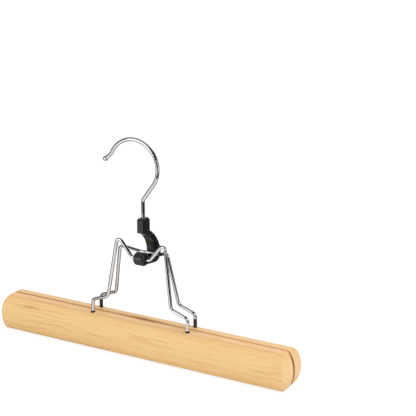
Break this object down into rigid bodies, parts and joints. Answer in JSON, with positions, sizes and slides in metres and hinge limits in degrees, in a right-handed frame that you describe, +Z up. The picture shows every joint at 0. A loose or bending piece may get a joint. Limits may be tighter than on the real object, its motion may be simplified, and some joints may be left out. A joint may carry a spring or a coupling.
{
  "type": "skirt hanger",
  "caption": "Wooden clamp hanger for skirts and trousers: lined half-bars on bent wire bails, closed by a plastic cam lever that carries a swivelling wire hook.",
  "frame": {"origin": "on the seam between the two bars, midway along them, at the level of their flat undersides", "axes": "+X along the bars, +Y from the front bar towards the rear bar, +Z up through the hook"},
  "size_m": [0.27, 0.0376, 0.1792],
  "materials": {
    "wood": "clear satin lacquer",
    "lining": "matt flock",
    "wire": "bright plated",
    "plastic": "satin moulded",
    "hook_wire": "bright plated"
  },
  "bodies": {
    "front_jaw": {"front_bar": "wood", "front_pad": "lining", "front_bail": "wire"},
    "rear_jaw": {"rear_bar": "wood", "rear_pad": "lining", "rear_bail": "wire"},
    "lever": {"lever": "plastic"},
    "hook": {"hook": "hook_wire"}
  },
  "joints": [
    {"name": "lever_tilt", "type": "hinge", "parent": "front_jaw", "child": "lever", "pos_m": [0, -0.002, 0.0818], "axis": [-1, 0, 0], "range_deg": [0, 60]},
    {"name": "rear_jaw_swing", "type": "hinge", "parent": "front_jaw", "child": "rear_jaw", "pos_m": [0, 0, 0.089], "axis": [1, 0, 0], "range_deg": [0, 20]},
    {"name": "hook_swivel", "type": "hinge", "parent": "lever", "child": "hook", "pos_m": [0, 0.0024, 0.1148], "axis": [0, 0, 1], "continuous": true}
  ],
  "couplings": [
    {"joint": "rear_jaw_swing", "follows": "lever_tilt", "ratio": 0.33333}
  ]
}
